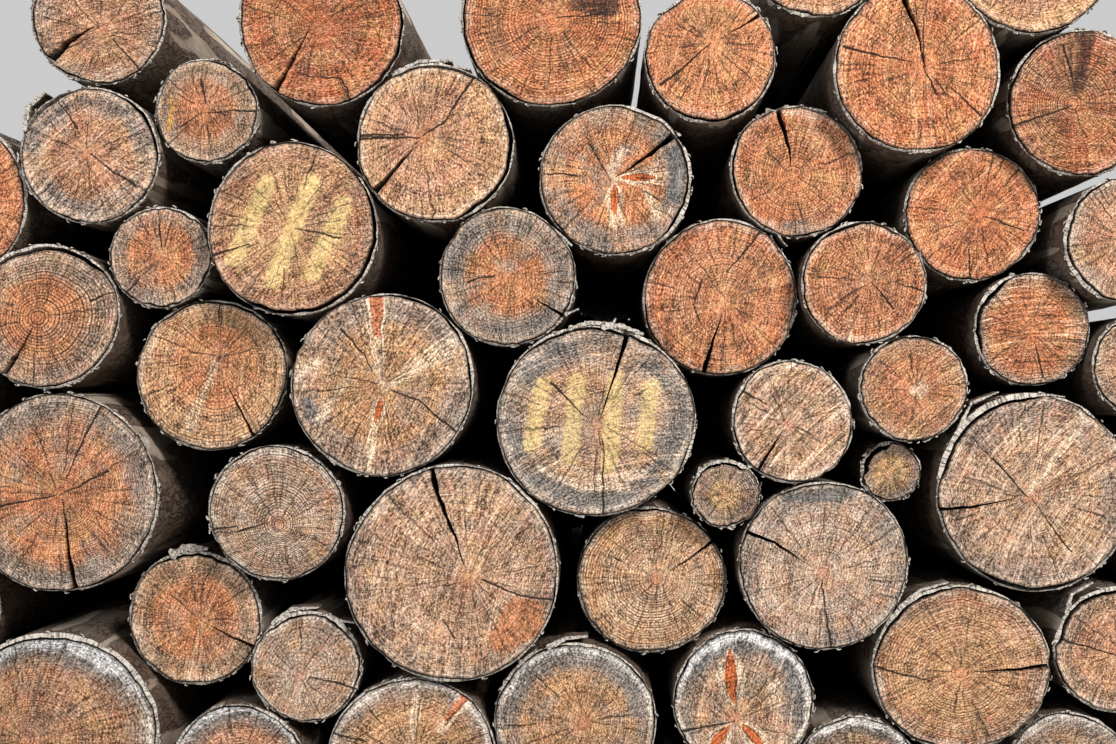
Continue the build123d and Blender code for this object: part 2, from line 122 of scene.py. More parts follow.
LOOKS = {
    "log_58": Look((98, 14), (101, 29), PINK, GREY, 0.75, 0.5, (20, 0.4), 0.1, 0.2,
        splits=[(11, (94, 23), (70, 38), (51, 56))], cracks=[(1.6, (113, 36), (142, 69))],
        bark=[(150, 200, 5, 3)]),
    "log_52": Look((212, 107), (210, 104), ORANGE, GREY, 0.62, 0.5, (90, 0.2), 0.2, 0.3,
        cracks=[(1.6, (211, 100), (208, 75)), (1.4, (214, 109), (240, 107), (264, 107)),
            (1.2, (207, 109), (187, 122))], marks=[(RESIN, 3, (176, 92), (178, 104), (175, 126))],
        bark=[(20, 80, 6, 2)]),
    "log_50": Look((88, 151), (84, 149), PINK, ASH, 0.7, 0.25, (38, 0.55), 0.55, 0.2,
        cracks=[(1.6, (54, 92), (76, 124)), (1.6, (88, 149), (110, 165), (134, 182))],
        marks=[(KNOT, 3, (76, 168), (77, 171))], bark=[(110, 165, 5, 6), (5, 60, 5, 4)],
        strips=[(5, (20, 130), (26, 106), (42, 88), (36, 80)), (4, (138, 96), (150, 112), (160, 132))]),
    "log_47": Look((-66, 190), (-66, 190), COPPER, COPPER, 0.8, 0.4, (60, 0.3), 0, 0.1),
    "log_57": Look((320, 22), (317, 25), RUSSET, RUSSET, 0.8, 0.6, (8, 0.2), 0, 0.15,
        splits=[(9, (308, 29), (292, 58), (274, 90))],
        cracks=[(1.4, (295, 71), (318, 75), (339, 75), (347, 88), (350, 100))], bark=[(-60, 10, 4, 3)]),
    "log_51": Look((434, 150), (422, 144), PINK, TAN, 0.75, 0.35, (80, 0.25), 0.15, 0.3,
        splits=[(7, (415, 155), (402, 168), (377, 198))],
        cracks=[(2.6, (404, 142), (356, 143)), (2.6, (419, 145), (356, 147)),
            (2, (423, 143), (442, 132), (458, 108), (472, 86))], bark=[(55, 120, 8, 3), (-70, 25, 4, 5)],
        strips=[(4, (398, 84), (420, 66), (452, 62)), (3, (458, 66), (470, 74))]),
    "log_56": Look((550, 24), (552, 25), COPPER, COPPER, 0.85, 0.9, (10, 0.2), 0, 0.2,
        cracks=[(1.4, (556, 24), (600, 20))],
        marks=[(SOOT, 14, (575, 10), (608, 12)), (BROWN, 14, (490, 20), (500, 60))],
        bark=[(120, 250, 5, 2)]),
    "log_55": Look((707, 64), (707, 50), AMBER, COPPER, 0.86, 0.45, (70, 0.3), 0, 0.2,
        splits=[(6, (724, 42), (743, 31), (764, 17))], cracks=[(2.2, (706, 51), (682, 74), (657, 92))],
        bark=[(-120, -60, 4, 3)]),
    "log_48": Look((617, 186), (615, 184), AMBER, BROWN, 0.7, 0.5, (80, 0.25), 0.75, 0.2,
        splits=[(8, (616, 184), (647, 164), (674, 142))],
        cracks=[(1.6, (544, 180), (578, 182)), (1.4, (612, 186), (590, 150))],
        marks=[(CREAM, 12, (618, 184), (664, 183)), (CREAM, 10, (616, 190), (617, 228)),
            (CREAM, 6, (612, 180), (622, 158)), (CREAM, 6, (646, 196), (660, 222)),
            (KNOT, 5, (622, 184), (658, 183)), (KNOT, 6, (616, 190), (616, 222)),
            (SLATE, 16, (676, 205), (682, 160))], bark=[(-40, 80, 9, 2)]),
    "log_49": Look((790, 166), (786, 170), AMBER, COPPER, 0.7, 0.6, (75, 0.3), 0.15, 0.3,
        splits=[(7, (785, 165), (783, 143), (773, 109))], marks=[(ASH, 12, (780, 222), (796, 224))],
        bark=[(160, 200, 5, 2)],
        strips=[(1.6, (783, 224), (786, 240), (789, 255)), (3, (812, 106), (830, 108))]),
    "log_59": Look((820, -47), (820, -47), ORANGE, PINK, 0.8, 0.5, (30, 0.3), 0, 0.2),
    "log_54": Look((921, 74), (927, 73), COPPER, COPPER, 0.9, 0.55, (85, 0.3), 0, 0.15,
        splits=[(9, (927, 70), (921, 36), (904, 0))],
        cracks=[(1.8, (926, 25), (928, 73)), (1.8, (915, 68), (847, 53)), (1.6, (927, 74), (941, 100)),
            (1.6, (956, 94), (984, 122))]),
    "log_60": Look((1048, -55), (1048, -55), PINK, TAN, 0.8, 0.4, (10, 0.3), 0, 0.2),
    "log_53": Look((1092, 94), (1083, 96), RUSSET, RUSSET, 0.75, 0.9, (0, 0.2), 0.15, 0.2,
        cracks=[(2, (1082, 98), (1050, 108), (1020, 120)), (2, (1084, 75), (1074, 36))],
        marks=[(SOOT, 16, (1086, 80), (1096, 26)), (BROWN, 18, (1074, 84), (1078, 40))],
        bark=[(110, 220, 6, 2)]),
    "log_46": Look((974, 207), (982, 207), COPPER, COPPER, 0.85, 0.4, (50, 0.35), 0, 0.15,
        cracks=[(1.6, (988, 209), (1026, 224)), (1.6, (971, 243), (972, 277))]),
    "log_45": Look((1127, 233), (1127, 233), PINK, GREY, 0.75, 0.4, (60, 0.3), 0.15, 0.3,
        bark=[(130, 240, 8, 2)]),
    "log_43": Look((156, 253), (157, 253), AMBER, GREY, 0.7, 0.45, (90, 0.2), 0.45, 0.2,
        cracks=[(1.6, (157, 245), (155, 221)), (1.6, (136, 274), (122, 289))]),
    "log_44": Look((293, 241), (291, 239), TAN, BROWN, 0.72, 0.4, (25, 0.3), 0.1, 0.15,
        cracks=[(2, (251, 256), (211, 267)), (1.4, (296, 240), (340, 250))],
        marks=[(PAINT, 12, (236, 270), (268, 196)), (PAINT, 12, (274, 290), (312, 196)),
            (PAINT, 12, (314, 284), (344, 216))], bark=[(-120, 20, 5, 5), (20, 200, 4, 1)]),
    "log_38": Look((51, 321), (44, 323), AMBER, GREY, 0.62, 0.9, (80, 0.2), 0.2, 0.2,
        splits=[(7, (40, 331), (28, 352), (11, 379))], cracks=[(1.6, (119, 298), (96, 306))],
        bark=[(40, 135, 8, 6)], strips=[(4, (60, 246), (92, 254), (116, 272))]),
    "log_33": Look((214, 383), (222, 366), AMBER, TAN, 0.6, 0.8, (85, 0.25), 0.1, 0.3,
        splits=[(5, (229, 392), (243, 420), (254, 444))], cracks=[(1.6, (220, 329), (222, 312))],
        marks=[(CREAM, 5, (218, 371), (205, 405), (191, 436)), (SOOT, 2, (222, 366), (222, 366.5))],
        bark=[(60, 130, 4, 2)]),
    "log_30": Look((387, 390), (386, 390), TAN, GREY, 0.75, 0.35, (60, 0.4), 0.5, 0.3,
        cracks=[(1.8, (377, 377), (369, 360), (345, 335)), (1.8, (396, 396), (423, 406), (461, 438))],
        marks=[(CREAM, 18, (386, 388), (381, 340), (381, 308)), (EMBER, 13, (383, 340), (381, 306)),
            (CREAM, 17, (389, 394), (424, 370), (450, 354)), (CREAM, 5, (383, 405), (377, 440), (371, 470)),
            (KNOT, 5, (386, 402), (380, 428)), (SLATE, 10, (312, 408), (320, 424)),
            (CREAM, 7, (352, 384), (322, 428)), (CREAM, 6, (300, 384), (322, 366))], bark=[(30, 80, 6, 3)]),
    "log_42": Look((513, 282), (514, 282), AMBER, ASH, 0.6, 0.6, (90, 0.2), 0.8, 0.2,
        splits=[(5, (540, 304), (572, 322))], cracks=[(1.6, (500, 281), (473, 287))],
        strips=[(3, (560, 232), (572, 246)), (3, (576, 322), (586, 312))]),
    "log_40": Look((709, 302), (715, 305), ORANGE, COPPER, 0.8, 0.6, (75, 0.3), 0.05, 0.3,
        splits=[(6, (711, 318), (702, 346), (693, 373))],
        cracks=[(1.8, (716, 276), (738, 250), (753, 232)), (1.2, (690, 330), (682, 310), (690, 284))]),
    "log_41": Look((855, 295), (861, 293), ORANGE, COPPER, 0.75, 0.55, (80, 0.25), 0.1, 0.35,
        cracks=[(1.6, (862, 294), (885, 320)), (1.4, (891, 297), (916, 304))],
        marks=[(RESIN, 3, (797, 308), (798, 320))], bark=[(60, 130, 3, 3)]),
    "log_39": Look((1034, 328), (1032, 331), COPPER, BROWN, 0.8, 0.4, (4, 0.7), 0.05, 0.35,
        cracks=[(2, (1036, 341), (1041, 360), (1045, 377))], bark=[(120, 200, 7, 6)]),
    "log_37": Look((1140, 366), (1140, 366), PINK, GREY, 0.7, 0.4, (20, 0.3), 0.2, 0.3),
    "log_25": Look((76, 497), (77, 499), ORANGE, ASH, 0.78, 0.85, (85, 0.2), 0.5, 0.25,
        splits=[(8, (78, 502), (82, 530), (84, 557), (90, 592))],
        cracks=[(2, (83, 482), (94, 454), (119, 406)), (2, (71, 499), (0, 514)),
            (1.8, (76, 499), (124, 475))]),
    "log_26": Look((270, 515), (273, 528), MIST, GREY, 0.7, 0.9, (10, 0.25), 0.3, 0.5,
        cracks=[(1.8, (231, 528), (201, 533)), (1.6, (256, 526), (234, 533))]),
    "log_20": Look((451, 573), (469, 578), FAWN, GREY, 0.8, 0.4, (70, 0.45), 0.15, 0.3,
        splits=[(8, (463, 566), (456, 542), (436, 494), (431, 471))],
        cracks=[(2, (482, 580), (515, 594), (555, 601)), (1.6, (442, 619), (452, 636))],
        marks=[(ORANGE, 40, (500, 640), (520, 620))], bark=[(-160, -100, 5, 2)]),
    "log_29": Look((592, 427), (595, 429), FAWN, ASH, 0.78, 0.45, (15, 0.4), 0.9, 0.3,
        splits=[(5, (596, 427), (607, 394), (622, 346))],
        cracks=[(1.8, (580, 421), (548, 389)), (1.6, (599, 445), (600, 520))],
        marks=[(PAINT, 11, (540, 392), (528, 450)), (PAINT, 11, (574, 388), (566, 462)),
            (PAINT, 11, (612, 386), (606, 470)), (PAINT, 11, (648, 392), (640, 450)),
            (CREAM, 4, (534, 474), (575, 491), (622, 494)), (CREAM, 3, (552, 466), (596, 484), (640, 480))],
        bark=[(50, 130, 7, 3)],
        strips=[(5, (574, 346), (590, 331), (612, 327), (628, 333)),
            (7, (600, 342), (618, 334), (642, 337)), (4, (606, 336), (612, 326), (616, 318)),
            (3, (584, 340), (580, 326))]),
    "log_31": Look((792, 424), (787, 427), FAWN, GREY, 0.8, 0.3, (45, 0.8), 0.2, 0.3,
        splits=[(5, (782, 433), (772, 450), (758, 473))], cracks=[(1.8, (766, 406), (741, 392))]),
    "log_32": Look((915, 387), (916, 389), ORANGE, BROWN, 0.7, 0.4, (40, 0.4), 0.05, 0.3,
        marks=[(CREAM, 14, (914, 389), (920, 389))], bark=[(60, 120, 5, 2)]),
    "log_27": Look((721, 493), (721, 494), STRAW, ASH, 0.55, 0.9, (90, 0.1), 0.3, 0.2,
        bark=[(50, 150, 9, 2)]),
    "log_28": Look((895, 473), (895, 473), STRAW, ASH, 0.72, 0.6, (30, 0.3), 0.3, 0.2,
        bark=[(95, 185, 9, 7)], strips=[(3, (872, 446), (884, 438), (902, 440))]),
    "log_24": Look((1030, 491), (1024, 496), FAWN, GREY, 0.8, 0.45, (55, 0.5), 0.45, 0.3,
        splits=[(5, (1013, 496), (965, 506), (931, 507))],
        cracks=[(1.8, (1023, 496), (1006, 478), (988, 458)), (1.4, (1026, 498), (1066, 550))],
        marks=[(CREAM, 3, (1026, 490), (1072, 430))], bark=[(90, 172, 15, 4), (-120, -60, 5, 6)],
        strips=[(4, (950, 420), (972, 402), (1000, 392)), (4, (1040, 390), (1066, 398))]),
    "log_21": Look((649, 592), (655, 590), BLOND, TAN, 0.78, 0.95, (80, 0.2), 0.15, 0.4,
        splits=[(5, (667, 584), (693, 567), (712, 551))]),
    "log_22": Look((826, 567), (825, 576), MIST, ASH, 0.8, 0.55, (75, 0.35), 0.4, 0.35,
        splits=[(5, (815, 569), (777, 544), (748, 533))], cracks=[(1.8, (824, 582), (833, 649))],
        marks=[(SLATE, 8, (790, 500), (850, 494))]),
    "log_13": Look((183, 631), (189, 633), AMBER, TAN, 0.7, 0.5, (70, 0.3), 0.3, 0.3,
        splits=[(5, (191, 635), (222, 651), (243, 660))], bark=[(60, 115, 9, 3)],
        strips=[(9, (166, 568), (180, 556), (200, 553))]),
    "log_12": Look((307, 668), (300, 677), MIST, GREY, 0.75, 0.55, (60, 0.3), 0.25, 0.5,
        cracks=[(2, (311, 679), (336, 684), (358, 691))], bark=[(30, 135, 11, 1)],
        strips=[(5, (268, 622), (290, 610), (318, 608)), (3, (340, 620), (356, 622))]),
    "log_15": Look((963, 664), (963, 668), TAN, BROWN, 0.8, 0.8, (20, 0.3), 0.2, 0.35,
        splits=[(5, (969, 668), (1022, 665), (1047, 661))], cracks=[(1.8, (935, 678), (875, 662))],
        bark=[(95, 170, 9, 3)], strips=[(4, (896, 606), (920, 590), (948, 582))]),
    "log_16": Look((1118, 655), (1118, 655), PINK, GREY, 0.75, 0.45, (65, 0.3), 0.15, 0.3,
        cracks=[(2, (1116, 660), (1055, 643))], bark=[(80, 175, 9, 5)],
        strips=[(4, (1052, 604), (1068, 590), (1092, 580))]),
    "log_03": Look((54, 735), (27, 739), BROWN, GREY, 0.88, 0.6, (80, 0.2), 0.2, 0.8,
        bark=[(20, 150, 11, 1)]),
    "log_04": Look((241, 772), (241, 772), PINK, GREY, 0.8, 0.4, (10, 0.3), 0.3, 0.8),
    "log_05": Look((421, 759), (421, 759), TAN, GREY, 0.8, 0.4, (30, 0.3), 0.2, 0.6,
        cracks=[(1.8, (377, 741), (340, 733))],
        marks=[(CREAM, 12, (448, 730), (480, 694)), (EMBER, 9, (455, 718), (476, 694)),
            (CREAM, 6, (420, 740), (427, 700))]),
    "log_11": Look((587, 732), (597, 731), TAN, ASH, 0.74, 0.5, (80, 0.25), 0.7, 0.7,
        strips=[(5, (548, 650), (566, 638), (588, 636)), (4, (528, 672), (540, 656))]),
    "log_14": Look((744, 697), (735, 716), FAWN, ASH, 0.82, 0.4, (80, 0.3), 0.9, 0.8,
        cracks=[(1.8, (735, 717), (674, 729))],
        marks=[(KNOT, 10, (734, 700), (729, 645)), (KNOT, 7, (730, 721), (708, 748)),
            (KNOT, 7, (742, 721), (768, 746)), (CREAM, 10, (770, 700), (776, 680))]),
    "log_07": Look((857, 776), (857, 776), GREY, ASH, 0.8, 0.4, (30, 0.3), 0.4, 0.7),
    "log_08": Look((1062, 778), (1062, 778), GREY, ASH, 0.8, 0.4, (30, 0.3), 0.4, 0.6),
}
# Flakes of bark lodged between logs: width, distance behind the sawn face, two ends (across, up).
LODGED = {
    "log_20": [(0.040, 1.54, (0.082, 0.525), (0.140, 0.525))],
    "log_48": [(0.036, 2.70, (0.100, 1.183), (0.150, 1.186)),
               (0.040, 2.74, (0.224, 1.174), (0.286, 1.170))],
}
# For the logs that the photograph does not show.
PLAIN_LOOKS = (
    Look(None, None, PINK, GREY, 0.75, 0.5, (30, 0.3), 0.2, 0.3),
    Look(None, None, TAN, ASH, 0.7, 0.6, (80, 0.3), 0.4, 0.3),
    Look(None, None, ORANGE, GREY, 0.8, 0.4, (55, 0.4), 0.1, 0.2),
)


class Graph:
    """A node tree written as short calls that each return an output socket."""

    def __init__(self, tree):
        self.tree = tree

    def put(self, kind, inputs=(), output=0, **settings):
        node = self.tree.nodes.new("ShaderNode" + kind)
        for name, value in settings.items():
            setattr(node, name, value)
        for key, value in dict(inputs).items():
            if isinstance(value, bpy.types.NodeSocket):
                self.tree.links.new(value, node.inputs[key])
            else:
                node.inputs[key].default_value = value
        return node.outputs[output]

    def math(self, operation, *values, clamp=False):
        return self.put("Math", dict(enumerate(values)), operation=operation, use_clamp=clamp)

    def plus(self, first, second):
        return self.math("ADD", first, second)

    def less(self, first, second):
        return self.math("SUBTRACT", first, second)

    def times(self, first, second, clamp=False):
        return self.math("MULTIPLY", first, second, clamp=clamp)

    def fit(self, value, factor, more, clamp=False):
        """The value times a factor, and more."""
        return self.math("MULTIPLY_ADD", value, factor, more, clamp=clamp)

    def vary(self, value, pattern, strength):
        """The value, raised or lowered where a pattern is above or below its middle."""
        return self.fit(self.less(pattern, 0.5), strength, value)

    def ramp(self, value, low, high, start=0, end=1):
        inputs = {"Value": value, "From Min": low, "From Max": high, "To Min": start, "To Max": end}
        return self.put("MapRange", inputs, interpolation_type="SMOOTHSTEP")

    def vector(self, operation, *values, output=0):
        return self.put("VectorMath", dict(enumerate(values)), output, operation=operation)

    def combine(self, x=0, y=0, z=0):
        return self.put("CombineXYZ", {0: x, 1: y, 2: z})

    def parts(self, vector):
        return self.put("SeparateXYZ", {0: vector}).node.outputs

    def moved(self, spot, x=0, y=0, z=0):
        return self.vector("ADD", spot, self.combine(x, y, z))

    def strewn(self, spot, source, scale, detail, sizes):
        """The spot, moved about by a noise that is read at the source."""
        shift = self.put("TexNoise", {"Vector": source, "Scale": scale, "Detail": detail}, 1)
        shift = self.vector("SUBTRACT", shift, (0.5, 0.5, 0.5))
        return self.vector("ADD", spot, self.vector("MULTIPLY", shift, sizes))

    def noise(self, spot, scale, detail=2, rough=0.5):
        return self.put("TexNoise", {"Vector": spot, "Scale": scale, "Detail": detail, "Roughness": rough})

    def line_noise(self, place, scale):
        return self.put("TexNoise", {"W": place, "Scale": scale}, noise_dimensions="1D")

    def attribute(self, name, output=2):
        return self.put("Attribute", output=output, attribute_name=name)

    def mix(self, factor, first, second, blend="MIX"):
        first, second = (tint + (1,) if isinstance(tint, tuple) else tint for tint in (first, second))
        return self.put("Mix", {0: factor, 6: first, 7: second}, 2, data_type="RGBA", blend_type=blend)

    def shaded(self, colour, level):
        return self.mix(1, colour, self.combine(level, level, level), "MULTIPLY")

    def show(self, kind, surface):
        output = self.tree.nodes.new("ShaderNodeOutput" + kind)
        self.tree.links.new(surface, output.inputs["Surface"])


END_INPUTS = ("Heart", "Sap", "Pith", "Radius", "Share", "Rings", "Saw Turn", "Saw", "Stain", "Rim", "Seed")
END_OUTPUTS = ("Base", "Level", "Cracks", "Height", "Place", "Fibres")
SOCKETS = {"Heart": "Color", "Sap": "Color", "Base": "Color", "Pith": "Vector", "Place": "Vector"}


def end_group():
    """The sawn end of a log: growth rings, sapwood, hairline cracks drawn as painted shade and the saw's
    streaks.
    """
    tree = bpy.data.node_groups.new("Sawn end", "ShaderNodeTree")
    for way, titles in (("INPUT", END_INPUTS), ("OUTPUT", END_OUTPUTS)):
        for title in titles:
            kind = "NodeSocket" + SOCKETS.get(title, "Float")
            tree.interface.new_socket(title, in_out=way, socket_type=kind)
    given = tree.nodes.new("NodeGroupInput").outputs
    results = tree.nodes.new("NodeGroupOutput").inputs
    g = Graph(tree)
    spot, out = g.attribute("end_spot", 1), g.attribute("end_out")
    seeded = g.moved(spot, z=given["Seed"])
    place = g.strewn(spot, seeded, 26, 2, (0.011, 0.011, 0))
    from_pith = g.vector("SUBTRACT", place, given["Pith"])
    across, up, _ = g.parts(from_pith)
    turn = g.math("ARCTAN2", up, across)
    distance = g.vector("LENGTH", from_pith, output=1)
    share = g.vary(out, g.noise(seeded, 9), 0.06)
    ring_place = g.times(share, given["Radius"])

    # Growth rings: pale early wood that darkens to a thin late line, unequal from year to year.
    years = g.math("DIVIDE", ring_place, RING_WIDTH)
    years = g.plus(years, g.line_noise(years, 0.35))
    year = g.math("FRACT", years)
    late = g.times(g.ramp(year, 0.3, 0.8), g.ramp(year, 0.88, 1, 1, 0))
    strength = g.put("TexWhiteNoise", {"W": g.math("FLOOR", years)}, noise_dimensions="1D")
    late = g.times(late, g.fit(strength, 0.6, 0.4))
    shown = g.ramp(g.noise(g.moved(seeded, y=2), 8, 3), 0.36, 0.6, 0.6, 1.3)
    late = g.times(g.times(late, given["Rings"]), shown)
    band = g.line_noise(ring_place, 55)

    def fan(around, along, outwards):
        return g.combine(g.times(turn, around), g.times(along, outwards), given["Seed"])

    # Streaks: the saw's, nearly straight across, and the wood's rays, outwards from the pith.
    turned = g.put("VectorRotate", {"Vector": spot, "Angle": given["Saw Turn"]}, rotation_type="Z_AXIS")
    bow = g.parts(turned)[0]
    turned = g.moved(turned, 0, g.times(g.times(bow, bow), 0.9), given["Seed"])
    sawn = g.noise(g.vector("MULTIPLY", turned, (9, 330, 1)), 1, 3, 0.65)
    sawn_broad = g.noise(g.vector("MULTIPLY", turned, (5, 130, 1)), 1, 3, 0.65)
    rays = g.ramp(g.noise(fan(42, distance, 12), 1, 4, 0.7), 0.3, 0.7)
    grain = g.ramp(g.noise(fan(30, ring_place, 340), 1, 2, 0.7), 0.34, 0.66)
    fibres = g.ramp(g.noise(fan(26, distance, 7), 1, 5, 0.7), 0.38, 0.6)
    speckle = g.ramp(g.noise(g.vector("MULTIPLY", turned, (0.6, 1, 1)), 260, 3, 0.8), 0.34, 0.66)
    mottle = g.noise(seeded, 22, 4, 0.6)

    # Hairline cracks run outwards; each begins and ends at its own distance from the pith. Their mask paints
    # the shade inside them as dark lines.
    bent = g.vary(0, g.noise(seeded, 45, 4, 0.7), 0.016)

    def hairlines(count, width, seed, least):
        per_turn = count / (2 * pi)
        at = g.plus(g.times(turn, per_turn), g.plus(given["Seed"], seed))
        at = g.plus(at, g.math("DIVIDE", g.times(bent, per_turn), g.math("MAXIMUM", distance, 0.012)))
        cell = g.put("TexVoronoi", {"W": at, "Scale": 1, "Randomness": 1}, voronoi_dimensions="1D")
        begin, reach, deep = g.put("SeparateColor", {0: cell.node.outputs["Color"]}).node.outputs
        begin = g.times(begin, 0.65)
        end = g.plus(begin, g.fit(reach, 0.6, 0.2))
        aside = g.times(cell, g.times(distance, 1 / per_turn))
        line = g.ramp(aside, width * 0.3, width, 1, 0)
        line = g.times(line, g.ramp(share, begin, g.plus(begin, 0.05)))
        line = g.times(line, g.ramp(deep, least, 1))
        return g.times(line, g.ramp(share, g.less(end, 0.12), end, 1, 0))

    fine = g.times(hairlines(64, 0.0013, 7.7, 0.1), 0.75)
    cracks = g.math("MAXIMUM", hairlines(26, 0.0023, 0.3, -0.6), fine)

    # Colour, from the heart outwards.
    def patches(offset, scale, detail, low, high):
        return g.ramp(g.noise(g.moved(seeded, *offset), scale, detail, 0.7), low, high)

    edge = g.vary(share, mottle, 0.3)
    sap = g.ramp(edge, g.less(given["Share"], 0.12), g.plus(given["Share"], 0.1))
    colour = g.mix(sap, given["Heart"], given["Sap"])
    colour = g.mix(g.ramp(share, 0.05, 0.16, 0.55, 0), colour, RUST)
    colour = g.mix(g.times(patches((5,), 34, 4, 0.4, 0.65), 0.45), colour, RUST)
    colour = g.mix(g.times(patches((9,), 19, 5, 0.45, 0.62), 0.4), colour, GOLD)
    faded = g.times(patches((3, 1), 14, 5, 0.46, 0.64), g.fit(given["Stain"], 0.8, 0.14, clamp=True))
    colour = g.mix(faded, colour, ASH)
    patch = g.noise(g.moved(from_pith, given["Seed"]), 8, 3)
    belt = g.times(g.ramp(edge, 0.6, 0.8), g.ramp(edge, 0.92, 1, 1, 0.25))
    stained = g.times(g.times(g.ramp(patch, 0.4, 0.56), belt), given["Stain"], clamp=True)
    colour = g.mix(g.times(stained, 0.95), colour, SLATE)

    # Weather bleaches the edge, and on some logs a wide band of its upper part.
    above = g.ramp(g.math("DIVIDE", up, given["Radius"]), 0.05, 0.7)
    weathered = g.times(g.ramp(given["Rim"], 0.45, 0.8), above)
    band_start = g.fit(weathered, -0.03, 0.89)
    blue = g.times(g.ramp(edge, g.less(band_start, 0.16), band_start), weathered)
    colour = g.mix(g.times(blue, 0.85), colour, SLATE)
    rim = g.ramp(edge, band_start, g.plus(band_start, 0.09))
    rim = g.times(rim, g.plus(given["Rim"], g.times(weathered, 0.3)), clamp=True)
    colour = g.mix(rim, colour, g.mix(weathered, CHALK, BLEACHED))
    pale = g.times(g.ramp(sawn_broad, 0.52, 0.7), g.times(given["Saw"], 0.6), clamp=True)
    colour = g.mix(pale, colour, PALE)
    colour = g.mix(g.times(g.times(speckle, grain), 0.22), colour, PALE)

    # Light and dark, about a middle level.
    level = 0.93
    for pattern, strength in ((mottle, 1.2), (band, 0.9), (rays, 0.6), (grain, 0.7), (speckle, 0.8)):
        level = g.vary(level, pattern, strength)
    streaks = g.plus(g.less(sawn, 0.5), g.less(sawn_broad, 0.5))
    streaks = g.times(streaks, g.plus(given["Saw"], 0.15))
    level = g.fit(streaks, 1.7, level)
    level = g.fit(g.less(level, 0.93), 1.5, 0.96)
    level = g.times(level, g.fit(late, -0.9, 1.12))
    level = g.times(level, g.ramp(out, 0.972, 0.998, 1, 0.45))
    level = g.math("MAXIMUM", level, 0.12)
    height = g.fit(speckle, 0.5, g.fit(late, 0.3, g.times(streaks, 0.9)))
    for socket, value in zip(results, (colour, level, cracks, height, place, fibres)):
        tree.links.new(value, socket)
    return tree


def finish_material(g, colour, rough, height, depth):
    """The shader that every material ends in, with the relief in metres."""
    bump = g.put("Bump", {"Height": height, "Distance": depth, "Strength": 1})
    shader = g.put("BsdfPrincipled", {"Base Color": colour, "Roughness": rough, "Normal": bump})
    shader.node.inputs["Specular IOR Level"].default_value = 0.25
    g.show("Material", shader)


def new_material(name):
    material = bpy.data.materials.new(name)
    material.use_nodes = True
    material.node_tree.nodes.clear()
    return material, Graph(material.node_tree)


def wood_material(name, look, radius, seed, end):
    """The sawn end of one log, with its own cracks, knots and stains."""
    material, g = new_material(name + "_wood")

    def spot(place):
        if look.centre is None:
            return (0, 0, 0)
        return ((place[0] - look.centre[0]) * PIXEL, (look.centre[1] - place[1]) * PIXEL, 0)

    values = (look.heart + (1,), look.sap + (1,), spot(look.pith), radius, look.share, look.rings,
              -radians(look.saw[0]), look.saw[1], look.stain, look.rim, seed)
    inputs = dict(zip(END_INPUTS, values))
    colour, level, fine_crack_shade, height, place, fibres = g.put("Group", inputs, node_tree=end).node.outputs
    ragged = g.strewn(place, place, 150, 2, (0.005, 0.005, 0))

    def stroke(start, end, near, far, edge, lens):
        """How much of a point lies on a straight stroke, near and far being half its widths."""
        along = end - start
        here = g.vector("SUBTRACT", ragged, start)
        reached = g.vector("DOT_PRODUCT", here, along / along.length_squared, output=1)
        reached = g.times(reached, 1, clamp=True)
        half = g.fit(reached, far - near, near)
        if lens:
            half = g.times(half, g.times(g.times(reached, 4), g.less(1, reached)))
        nearest = g.put("VectorMath", {0: along, "Scale": reached}, operation="SCALE")
        off = g.vector("DISTANCE", here, nearest, output=1)
        return g.ramp(g.less(off, half), 0, edge, 1, 0)

    def strokes(width, path, edge, taper, lens=False):
        share = None
        steps = len(path) - 1
        for step in range(steps):
            near, far = (width * PIXEL / 2 * (1 - taper * (steps - s) / steps) for s in (step, step + 1))
            one = stroke(Vector(spot(path[step])), Vector(spot(path[step + 1])), near, far, edge, lens)
            share = one if share is None else g.math("MAXIMUM", share, one)
        return share

    worn = g.ramp(g.noise(place, 130, 4, 0.7), 0.36, 0.56)
    for tint, width, *path in look.marks:
        if tint in (PAINT, KNOT):
            continue
        if tint == CREAM:
            share = g.times(strokes(width, path, 0.010, 0.85), g.fit(fibres, 0.75, 0.2))
        else:
            soft = 0.002 if tint in (EMBER, RESIN) else 0.014
            share = g.times(strokes(width, path, soft, 0.6), g.fit(worn, 0.4, 0.6))
        colour = g.mix(g.times(share, 0.85), colour, tint)
    # A knot that the saw met lengthwise: a lens with a pale edge and a dark outline.
    for tint, width, *path in look.marks:
        if tint == KNOT:
            colour = g.mix(g.times(strokes(width * 2.6, path, 0.007, 0, True), 0.65), colour, CREAM)
            colour = g.mix(strokes(width + 2, path, 0.0015, 0, True), colour, RUST)
            colour = g.mix(strokes(width, path, 0.0015, 0, True), colour, KNOT)
    colour = g.shaded(colour, level)
    for tint, width, *path in look.marks:
        if tint == PAINT:
            share = g.times(strokes(width, path, 0.011, 0), g.fit(worn, 0.65, 0.1))
            colour = g.mix(share, colour, g.mix(0.35, PAINT, g.shaded(PAINT, level)))
    # Painted shade: hairline and drawn cracks are painted near-black for the shade inside them.
    colour = g.mix(g.times(fine_crack_shade, 0.8), colour, CRACK_SHADE)
    for width, *path in look.cracks:
        colour = g.mix(g.times(strokes(width, path, 0.0012, 0.6), 0.95), colour, CRACK_SHADE)

    # Painted shade: inside a split the wood is painted darker with depth, for the shade that falls there.
    colour = g.mix(g.ramp(g.attribute("end_depth"), 0, 0.03, 0, 0.92), colour, CRACK_SHADE)
    finish_material(g, colour, 0.82, height, 0.0011)
    return material


